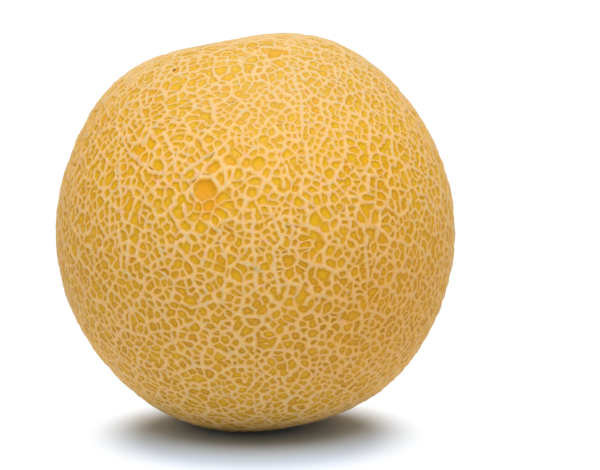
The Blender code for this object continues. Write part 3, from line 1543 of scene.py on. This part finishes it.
@dataclass
class MelonFinish:
    """The melon's whole finish, painted by how corky each place is.

    Attributes:
        form: The melon's form, for the markings' places.
        flecks: Dark flecks.
        blushes: Orange patches.
        riper: Wide parts of the melon that are a little more orange.
        skin: Finish of the bare skin.
        cork: Finish of the net.
        scar: Finish of the scars.
        bumps: Fine relief.
        low: The lower part, by height in metres.
        high: The upper part, likewise.
        left: The left side, by the place from left to right in metres.
    """

    form: FruitForm
    flecks: tuple[Spot, ...]
    blushes: tuple[Spot, ...]
    riper: tuple[Spot, ...]
    skin: SkinFinish = SkinFinish()
    cork: CorkFinish = CorkFinish()
    scar: ScarFinish = ScarFinish()
    bumps: Bumps = Bumps()
    low: Fade = Fade(0.125, 0.035)
    high: Fade = Fade(0.108, 0.145)
    left: Fade = Fade(-0.020, -0.066)
    bench: Bench = field(init=False)
    spot: Wire = field(init=False)

    def __post_init__(self) -> None:
        """Start the material and the coordinates that its markings are placed by."""
        self.bench = Bench("netted_skin")
        self.spot = self.bench.node("ShaderNodeTexCoord", output="Object")

    def speckle(self, grain: Grain) -> Wire:
        """Return noise about 0.5."""
        scale, detail, roughness = grain.value
        return self.noise("3D", Vector=self.spot, Scale=scale, Detail=detail, Roughness=roughness)

    def noise(self, dimensions: str, output: str = "Fac", **inputs: Input) -> Wire:
        """Return a noise texture's output for its named inputs."""
        settings = {"noise_dimensions": dimensions}
        return self.bench.node("ShaderNodeTexNoise", settings, inputs, output)

    def wavering(self, scale: float, reach: float) -> Wire:
        """Move each place's coordinates a little aside.

        Args:
            scale: Waves to the metre.
            reach: Widest span of the moves in metres.

        Returns:
            The moved coordinates.
        """
        wander = self.noise("3D", "Color", Vector=self.spot, Scale=scale, Detail=1.0)
        centred = self.bench.vector("SUBTRACT", wander, (0.5, 0.5, 0.5))
        return self.bench.vector("MULTIPLY_ADD", centred, (reach, reach, reach), self.spot)

    def hairlines(self) -> Wire:
        """Draw thin broken lines of cork that cross the cells' floors.

        Returns:
            The share of cork in them.
        """
        distance = self.bench.node(
            "ShaderNodeTexVoronoi",
            {"voronoi_dimensions": "3D", "feature": "DISTANCE_TO_EDGE"},
            {"Vector": self.wavering(*self.cork.hair_waver), "Scale": self.cork.hair_scale},
        )
        gaps = self.cork.hair_gap.of(self.speckle(Grain.GAP))
        return self.cork.hair_width.of(distance) * gaps * self.cork.hair

    def scar_tissue(self, crumb: Wire) -> Wire:
        """Tear the scars' dried tissue into wedges and rings about the fruit's axis.

        Args:
            crumb: Noise that makes the rings uneven.

        Returns:
            0 in a crack, 1 on the tissue.
        """
        vector, scar = self.bench.vector, self.scar
        axis = tuple(self.form.stem_way)
        offset = vector("SUBTRACT", self.wavering(*scar.waver), tuple(self.form.centre))
        along = vector("DOT_PRODUCT", offset, axis, output="Value")
        outward = vector("MULTIPLY_ADD", axis, along * -1.0, offset)
        away = vector("LENGTH", outward, output="Value") + scar.ring_waver * crumb
        heading = vector("NORMALIZE", outward)
        scale, detail, rough = scar.wedge_noise
        wedges = self.noise("3D", Vector=heading, Scale=scale, Detail=detail, Roughness=rough)
        scale, detail = scar.ring_noise
        rings = self.noise("1D", W=away, Scale=scale, Detail=detail)
        torn = scar.ring.of(rings) + (1.0 - scar.ring.share)
        fibres = scar.fibre.of(self.speckle(Grain.FIBRE)) + (1.0 - scar.fibre.share)
        return scar.wedge.of(wedges) * torn * fibres

    def spot_mask(self, spots: Sequence[Spot]) -> Input:
        """Find where some spots lie.

        Args:
            spots: The spots.

        Returns:
            1 inside a spot, 0 outside.
        """
        total: Input = 0.0
        for spot in spots:
            middle = self.form.point(spot.place.way(), RidgeKind.BOLD.height, 0.0)
            away = self.bench.vector("DISTANCE", self.spot, tuple(middle), output="Value")
            total = away.eased(spot.radius, spot.core * spot.radius).or_larger(total)
        return total

    def along(self, axis: str) -> Wire:
        """Return the place along an axis in metres."""
        return self.bench.node("ShaderNodeSeparateXYZ", {}, {0: self.spot}, axis)

    def paint(self) -> bpy.types.Material:
        """Wire up the material.

        Returns:
            The material.
        """
        bench, bumps = self.bench, self.bumps
        cork = bench.attribute("cork")
        scar = bench.attribute("scar")
        grain = self.speckle(Grain.FINE)
        crumb = self.speckle(Grain.CRUMB)
        low, high = self.low.of(self.along("Z")), self.high.of(self.along("Z"))
        crumbs, grains = self.cork.crumbled
        edge = cork + crumbs * (crumb - 0.5) + grains * (grain - 0.5) - self.cork.thinner * high
        net = self.cork.reach.of(edge)
        hair = self.hairlines()
        covered = net + hair * (1.0 - net)
        blushing, riper = self.spot_mask(self.blushes), self.spot_mask(self.riper)
        torn = self.scar_tissue(crumb)
        surface = bench.coats(
            self.paint_skin(edge, low, high, blushing, riper),
            (covered, self.paint_cork(cork, edge, crumb, high, blushing, riper)),
            (self.scar.reach.of(scar), bench.blend(torn, self.scar.brown, self.scar.tan)),
            (self.spot_mask(self.flecks) * self.scar.fleck, self.scar.brown),
        )
        rough = self.skin.roughness + (self.cork.roughness - self.skin.roughness) * covered
        relief = bumps.grain * grain * net + bumps.hair * hair
        relief = relief + bumps.crumb * crumb + bumps.tissue * torn * scar
        raised = {"Strength": bumps.strength, "Distance": bumps.distance, "Height": relief}
        bench.set(
            Base_Color=surface,
            Roughness=rough + bumps.rough_grain * (grain - 0.5),
            Normal=bench.node("ShaderNodeBump", {}, raised),
            Specular_IOR_Level=bumps.specular,
        )
        return bench.material

    def paint_skin(self, edge: Wire, low: Wire, high: Wire, blushing: Input, riper: Input) -> Wire:
        """Mix the bare skin's colour, with painted shade and a painted sheen.

        Args:
            edge: How corky each place is, with a crumbled edge.
            low: The melon's lower part.
            high: Its upper part.
            blushing: Its orange patches.
            riper: Its wide riper parts.

        Returns:
            The colour.
        """
        bench, skin = self.bench, self.skin
        tint = bench.attribute("tint")
        drift = self.speckle(Grain.DRIFT)
        left = self.left.of(self.along("X"))
        ripe_tint, green_tint = skin.cell_tint
        ripe = skin.ripe.of(self.speckle(Grain.CLOUD) + ripe_tint * tint)
        green = skin.green.of(drift + green_tint * tint) * (1.0 - skin.less_green * low)
        # Painted shade: cells darker in their corners and small middles, more so low and high on the
        # melon, and whole floors darker low on the melon.
        corners = skin.corner.of(bench.attribute("shade") + skin.corner_drift * (drift - 0.5))
        deep, deep_low, deep_high = skin.deep
        dim, dim_tint = skin.dim
        shaded = corners * (deep + deep_low * low + deep_high * high) + (dim + dim_tint * tint) * low
        return bench.coats(
            skin.golden,
            (ripe, skin.orange),
            (green, skin.olive),
            (riper * skin.riper, skin.orange),
            # More orange low on the melon and on its left side.
            (skin.orange_low_left * (low + left * (1.0 - low)), skin.orange),
            (blushing, skin.blush),
            # Painted shade at the ridges' feet, in the cells' corners and low on the melon.
            (shaded + skin.foot.of(edge), skin.rim),
            # Painted sheen: the skin greyer and paler high on the melon.
            (skin.painted_sheen * high, self.cork.grey),
        )

    def paint_cork(
        self, cork: Wire, edge: Wire, crumb: Wire, high: Wire, blushing: Input, riper: Input
    ) -> Wire:
        """Mix the net's colour, with a painted sheen high on the melon.

        Args:
            cork: How corky each place is.
            edge: The same with a crumbled edge.
            crumb: The crumb's noise.
            high: The melon's upper part.
            blushing: Its orange patches.
            riper: Its wide riper parts.

        Returns:
            The colour.
        """
        dry = self.cork
        stretches = self.speckle(Grain.STRETCH)
        return self.bench.coats(
            dry.amber,
            (dry.shoulder.of(edge), dry.peach),
            (dry.top.of(edge), dry.pale),
            (dry.mottle.of(crumb), dry.peach),
            (dry.fresh.of(stretches), dry.pink),
            # Grey by wear and weathering, and grey high on the melon as a painted sheen.
            (dry.worn.of(cork) + dry.weathered.of(stretches) + dry.painted_cork_sheen * high, dry.grey),
            (riper * dry.riper, dry.ripe),
            (blushing * dry.on_blush.of(edge), dry.ripe),
        )


@dataclass
class Melon:
    """The whole fruit, as one closed piece.

    Attributes:
        form: Its smooth form.
        strokes: Long bold ridges of its net.
        windows: Large cells of its net.
        flecks: Dark flecks on it.
        blushes: Orange patches on it.
        bake_reach: Half the width of each side on the bake map, as a share of its square.
    """

    form: FruitForm
    strokes: tuple[Stroke, ...]
    windows: tuple[Window, ...]
    flecks: tuple[Spot, ...]
    blushes: tuple[Spot, ...]
    bake_reach: float = 0.43

    def lay_bake_map(self, mesh: bpy.types.Mesh) -> None:
        """Give the mesh a map of six squares, one for each side of a cube round it.

        Args:
            mesh: The finished mesh.
        """
        def numbers(items: bpy.types.bpy_prop_collection, name: str, size: int, kind: type) -> np.ndarray:
            """Read a property of each item.

            Args:
                items: The items.
                name: Name of the property.
                size: How many numbers it has.
                kind: Their type.

            Returns:
                One row for each item.
            """
            values = np.zeros(len(items) * size, kind)
            items.foreach_get(name, values)
            return values.reshape(-1, size)

        centre = np.array(self.form.centre, np.float32)
        points = numbers(mesh.vertices, "co", 3, np.float32) - centre
        hearts = numbers(mesh.polygons, "center", 3, np.float32) - centre
        corners = points[numbers(mesh.loops, "vertex_index", 1, np.int32)[:, 0]]
        totals = numbers(mesh.polygons, "loop_total", 1, np.int32)[:, 0]
        axis = np.abs(hearts).argmax(axis=1)
        positive = hearts[np.arange(len(hearts)), axis] > 0.0
        column = np.repeat(axis, totals)
        row = np.repeat(positive.astype(np.float32), totals)
        each = np.arange(len(corners))
        main = np.abs(corners[each, column])
        across = corners[each, (column + 1) % 3] / main
        up = corners[each, (column + 2) % 3] / main
        layout = np.stack([
            (column + 0.5 + self.bake_reach * across) / 3.0,
            (row + 0.5 + self.bake_reach * up) / 2.0,
        ], axis=1)
        mesh.uv_layers.new(name="OFBake").data.foreach_set("uv", layout.astype(np.float32).ravel())

    def make(self) -> bpy.types.Object:
        """Build the fruit and dress it.

        Returns:
            Its object.
        """
        stem = self.form.stem_way
        surface = FineNet(
            form=self.form,
            broad=BROAD_CELLS,
            fine=FINE_CELLS,
            strokes=self.strokes,
            windows=self.windows,
            stretches=STRETCHES,
            blushes=self.blushes,
            scars=(
                Scar(stem, STEM_SCAR_RADIUS, STEM_RINGS),
                Scar(-stem, BLOSSOM_SCAR_RADIUS, BLOSSOM_RINGS),
            ),
        ).build()
        skin = MelonFinish(self.form, self.flecks, self.blushes, RIPER).paint()
        melon = add_shape("netted_melon", surface, skin)
        melon.data.shade_smooth()
        self.lay_bake_map(melon.data)
        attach(melon, "root")
        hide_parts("melon")
        melon.data.calc_loop_triangles()
        LOG.info("netted_melon: %d triangles", len(melon.data.loop_triangles))
        return melon


@dataclass
class Studio:
    """Pale floor, soft light and the camera.

    Attributes:
        form: The melon's form, which the camera aims at.
        picture_size: Width and height of the picture in pixels.
        melon_pixel: Where the melon's middle lies in it.
        melon_pixel_radius: The melon's radius in it.
        sensor: Width of the camera's sensor in mm.
        distance: Distance from the camera to the melon's middle in metres.
        elevation: Degrees that the camera looks down.
        floor_size: Side of the floor in metres.
        fill: Brightness of the light from all round.
        overhead: Brightness that the overhead light gives white paper facing it.
        overhead_spread: Width of the overhead light in degrees.
        overhead_place: Where the overhead light stands.
        shadow_forward: How far the shadow's middle lies in front of the melon's.
        shadow_core: Distance from its middle to which the floor takes a full shadow.
        shadow_reach: Distance from which it takes none.
        glow: Brightness of the floor outside the shadow.
        floor_colour: Floor in the shadow, darker and cool so that light from the melon leaves it grey: a
            painted shade.
        floor_roughness: Its roughness.
    """

    form: FruitForm
    picture_size: tuple[int, int] = (600, 470)
    melon_pixel: tuple[float, float] = (255.0, 232.0)
    melon_pixel_radius: float = 200.0
    sensor: float = 36.0
    distance: float = 1.1
    elevation: float = 10.0
    floor_size: float = 12.0
    fill: float = 0.30
    overhead: float = 0.99
    overhead_spread: float = 62.0
    overhead_place: Place = Place(4.0, 73.0)
    shadow_forward: float = 21.0 * MILLIMETRE
    shadow_core: float = 40.0 * MILLIMETRE
    shadow_reach: float = 68.0 * MILLIMETRE
    glow: float = 1.04
    floor_colour: Colour = (0.66, 0.79, 0.97, 1.0)
    floor_roughness: float = 0.9

    def lay_floor(self) -> None:
        """Lay a white floor that glows by itself outside a round patch at the melon's foot; in the patch
        it takes the real shadow in a darker, cool painted colour.
        """
        bench = Bench("studio_white")
        spot = bench.node("ShaderNodeTexCoord", output="Object")
        away = bench.vector("DISTANCE", spot, (0.0, -self.shadow_forward, 0.0), output="Value")
        # Real light and shadow show only inside this round patch, and the floor glows evenly outside it,
        # so the patch's edge paints the shadow's outline.
        share = away.eased(self.shadow_core, self.shadow_reach)
        white = {"Color": (1.0, 1.0, 1.0, 1.0), "Strength": self.glow}
        glow = bench.node("ShaderNodeEmission", {}, white)
        lit = Wire(bench, bench.shader.outputs[0])
        mixed = bench.node("ShaderNodeMixShader", {}, {0: share, 1: lit, 2: glow})
        bench.feed(bench.tree.nodes["Material Output"].inputs["Surface"], mixed)
        # The patch's colour is painted shade: darker and cool, so the shadow reads grey.
        bench.set(
            Base_Color=self.floor_colour, Roughness=self.floor_roughness, Specular_IOR_Level=0.0
        )
        sheet = bmesh.new()
        bmesh.ops.create_grid(sheet, x_segments=1, y_segments=1, size=self.floor_size / 2.0)
        floor = add_shape("floor", sheet, bench.material)

    def light(self) -> None:
        """Light the scene from a wide soft source overhead, filled in from all round."""
        scene = bpy.context.scene
        world = bpy.data.worlds.new("studio")
        world.use_nodes = True
        background = world.node_tree.nodes["Background"]
        background.inputs["Color"].default_value = (1.0, 1.0, 1.0, 1.0)
        background.inputs["Strength"].default_value = self.fill
        scene.world = world
        scene.view_settings.view_transform = "Standard"
        scene.view_settings.look = "None"
        sky = bpy.data.lights.new("overhead", "SUN")
        sky.angle = math.radians(self.overhead_spread)
        sky.energy = self.overhead * math.pi
        lamp = add_object("overhead", sky)
        lamp.rotation_euler = self.overhead_place.way().to_track_quat("Z", "Y").to_euler()

    def aim_camera(self) -> None:
        """Set the camera so that the melon lies where the photograph has it."""
        width, height = self.picture_size
        sight = math.asin(self.form.mean_radius / self.distance)
        focal_pixels = self.melon_pixel_radius / math.tan(sight)
        lens = bpy.data.cameras.new("camera")
        lens.sensor_width = self.sensor
        lens.lens = focal_pixels * self.sensor / width
        camera = add_object("camera", lens)
        down = math.radians(self.elevation)
        ahead = Vector((0.0, math.cos(down), -math.sin(down)))
        camera.location = self.form.centre - self.distance * ahead
        right_turn = math.atan((width / 2.0 - self.melon_pixel[0]) / focal_pixels)
        up_tilt = math.atan((self.melon_pixel[1] - height / 2.0) / focal_pixels)
        tilt = Matrix.Rotation(math.radians(90.0) - down + up_tilt, 4, "X")
        turn = Matrix.Rotation(-right_turn, 4, "Z")
        camera.rotation_euler = (turn @ tilt).to_euler()
        bpy.context.scene.camera = camera


STEM_SCAR_RADIUS = 8.0 * MILLIMETRE
BLOSSOM_SCAR_RADIUS = 4.2 * MILLIMETRE

STEM_RINGS: tuple[ScarRing, ...] = (
    ScarRing(7.2, 0.75, 1.0, 0.15),
    ScarRing(6.3, 1.55, 1.0, 0.8),
    ScarRing(5.1, 1.95, 1.0, 1.0),
    ScarRing(3.9, 1.80, 1.0, 1.0),
    ScarRing(2.9, 1.35, 1.0, 1.0),
    ScarRing(1.7, 1.20, 1.0, 1.0),
    ScarRing(0.8, 1.45, 1.0, 1.0),
    ScarRing(0.0, 1.9, 1.0, 1.0),
)

BLOSSOM_RINGS: tuple[ScarRing, ...] = (
    ScarRing(3.6, 0.35, 0.8, 0.2),
    ScarRing(2.6, 0.22, 1.0, 0.5),
    ScarRing(1.3, 0.20, 1.0, 0.9),
    ScarRing(0.0, 0.45, 1.0, 1.0),
)

STROKES: tuple[Stroke, ...] = (
    Stroke(Place(-20.5, 23.3), Place(-11.7, 23.7), 0.20),
    Stroke(Place(-22.5, 24.0), Place(-15.7, 30.9), 0.09),
    Stroke(Place(-4.6, 38.9), Place(-4.0, 33.8)),
    Stroke(Place(-9.5, 27.9), Place(-8.7, 24.6)),
    Stroke(Place(19.9, 58.9), Place(18.7, 47.3)),
    Stroke(Place(18.7, 47.3), Place(16.3, 37.0)),
    Stroke(Place(17.1, 33.8), Place(16.5, 27.9)),
    Stroke(Place(16.5, 27.9), Place(21.0, 23.9)),
    Stroke(Place(-13.7, 12.5), Place(-9.4, 9.1)),
    Stroke(Place(-9.4, 9.1), Place(-8.7, 3.0)),
    Stroke(Place(-47.9, 28.9), Place(-42.3, 16.9)),
    Stroke(Place(-50.6, 33.8), Place(-37.4, 27.5), -0.06),
    Stroke(Place(-37.4, 27.5), Place(-27.1, 26.0), -0.18),
    Stroke(Place(-31.9, 35.9), Place(-26.1, 27.6), 0.05),
    Stroke(Place(-17.7, 47.6), Place(-15.4, 43.2)),
    Stroke(Place(9.0, 53.5), Place(16.6, 48.3)),
    Stroke(Place(9.2, 28.5), Place(10.2, 24.4)),
    Stroke(Place(25.6, 37.5), Place(22.4, 34.5)),
    Stroke(Place(3.8, 16.1), Place(7.3, 7.8)),
    Stroke(Place(46.8, 58.4), Place(40.9, 53.7)),
    Stroke(Place(27.8, -6.6), Place(28.3, -11.8)),
    Stroke(Place(27.3, 17.0), Place(26.9, 11.5)),
    Stroke(Place(35.7, 22.9), Place(33.9, 18.1)),
    Stroke(Place(-0.5, 13.8), Place(-0.9, 7.1)),
    Stroke(Place(-0.9, 7.1), Place(-0.3, 0.3)),
    Stroke(Place(-0.3, 0.3), Place(0.3, -4.1)),
    Stroke(Place(7.1, 7.8), Place(5.3, 5.1)),
    Stroke(Place(5.3, 5.1), Place(4.7, -0.3)),
    Stroke(Place(4.7, -0.3), Place(6.0, -5.3)),
    Stroke(Place(31.9, 7.9), Place(31.7, 1.9)),
    Stroke(Place(31.7, 1.9), Place(32.4, -5.4)),
    Stroke(Place(10.0, 14.7), Place(9.9, 9.6)),
    Stroke(Place(-46.9, 15.0), Place(-45.0, 8.3)),
    Stroke(Place(-41.9, 8.7), Place(-40.1, 3.2)),
    Stroke(Place(-37.7, 3.1), Place(-37.9, -1.8)),
    Stroke(Place(-27.9, 6.0), Place(-26.0, 1.0)),
)

WINDOWS: tuple[Window, ...] = (
    Window(Place(-15.1, 22.2), 10.4, 7.4),
    Window(Place(-21.6, 18.3), 5.3, 4.8),
    Window(Place(-31.4, 27.6), 5.3, 5.0),
    Window(Place(-39.8, 35.8), 6.4, 6.0),
    Window(Place(-50.5, 38.0), 5.4, 5.3),
    Window(Place(-40.0, 30.5), 6.1, 5.5),
    Window(Place(-48.5, 22.9), 6.0, 5.1),
    Window(Place(-28.8, 20.1), 6.0, 4.5),
    Window(Place(-35.7, 15.5), 4.7, 5.2),
    Window(Place(-38.5, 11.9), 5.7, 4.4),
    Window(Place(-3.2, 28.8), 3.8, 5.0),
    Window(Place(1.3, 29.3), 5.4, 6.6),
    Window(Place(-19.2, 11.2), 5.6, 4.0),
    Window(Place(-15.1, 11.2), 4.8, 4.4),
    Window(Place(-6.0, 25.5), 5.4, 3.6),
    Window(Place(-9.0, 19.1), 4.8, 3.8),
    Window(Place(1.5, 18.7), 4.5, 4.5),
    Window(Place(-17.1, 27.2), 5.5, 3.8),
    Window(Place(-12.6, 27.7), 5.4, 4.2),
    Window(Place(-8.2, 30.0), 5.7, 4.4),
    Window(Place(22.8, 25.9), 4.5, 4.4),
    Window(Place(22.6, 11.4), 4.7, 4.8),
    Window(Place(16.6, 9.5), 4.6, 4.8),
    Window(Place(2.5, 0.2), 4.8, 4.2),
    Window(Place(-6.3, 5.4), 5.0, 3.5),
    Window(Place(17.9, 1.5), 6.3, 3.5),
    Window(Place(17.9, -2.4), 6.3, 3.5),
    Window(Place(9.9, -5.9), 6.4, 3.6),
    Window(Place(32.7, 14.4), 5.5, 3.5),
    Window(Place(36.4, 12.6), 5.0, 5.1),
    Window(Place(32.9, 20.3), 4.7, 4.6),
    Window(Place(9.4, -1.6), 4.5, 4.2),
)

STRETCHES: tuple[Stretch, ...] = (
    Stretch(Place(-25.6, 45.0), 17.0, 14.0, 0.42, -0.42),
    Stretch(Place(48.0, -6.0), 20.0, 0.0, -0.18, 0.16),
    Stretch(Place(150.0, 12.0), 22.0, 0.0, 0.22, -0.20),
    Stretch(Place(-110.0, -15.0), 24.0, 0.0, -0.16, 0.18),
)

COARSE: tuple[Hump, ...] = (
    Hump(Place(-56.0, 5.0), 24.0, 0.16),
    Hump(Place(-31.0, -18.0), 26.0, 0.13),
    Hump(Place(3.0, -8.0), 16.0, 0.26),
    Hump(Place(40.0, 16.0), 20.0, 0.12),
    Hump(Place(35.0, -10.0), 22.0, 0.18),
    Hump(Place(0.0, 72.0), 16.0, 0.12),
)

BROAD_CELLS = CellPlan(count=700, jitter=0.24, seed=11)
FINE_CELLS = CellPlan(count=7500, jitter=0.44, seed=29, thinning=0.10, patches=COARSE)

FLECKS: tuple[Spot, ...] = (
    Spot(Place(30.5, 26.1), 0.9 * MILLIMETRE),
    Spot(Place(72.7, 17.8), 0.9 * MILLIMETRE),
    Spot(Place(-46.3, 57.9), 1.0 * MILLIMETRE),
    Spot(Place(78.8, 73.8), 0.8 * MILLIMETRE),
)

RIPER: tuple[Spot, ...] = (
    Spot(Place(42.0, -16.0), 58.0 * MILLIMETRE, 0.15),
    Spot(Place(-160.0, 5.0), 60.0 * MILLIMETRE, 0.10),
)

BLUSHES: tuple[Spot, ...] = (
    Spot(Place(-15.0, 21.8), 4.6 * MILLIMETRE, 0.6),
    Spot(Place(-13.6, 17.6), 7.4 * MILLIMETRE, 0.3),
    Spot(Place(-44.5, 57.6), 2.6 * MILLIMETRE, 0.2),
    Spot(Place(29.5, 26.8), 3.6 * MILLIMETRE, 0.2),
    Spot(Place(-31.5, 24.5), 3.4 * MILLIMETRE, 0.2),
)


def main() -> None:
    """Build the melon and its studio."""
    logging.basicConfig(level=logging.INFO, format="%(name)s: %(message)s")
    low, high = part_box("melon")
    form = FruitForm(mean_radius=(high.x - low.x) / 2.0)
    studio = Studio(form)
    studio.aim_camera()
    studio.lay_floor()
    studio.light()
    Melon(form, STROKES, WINDOWS, FLECKS, BLUSHES).make()
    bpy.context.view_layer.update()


if __name__ == "__main__":
    main()
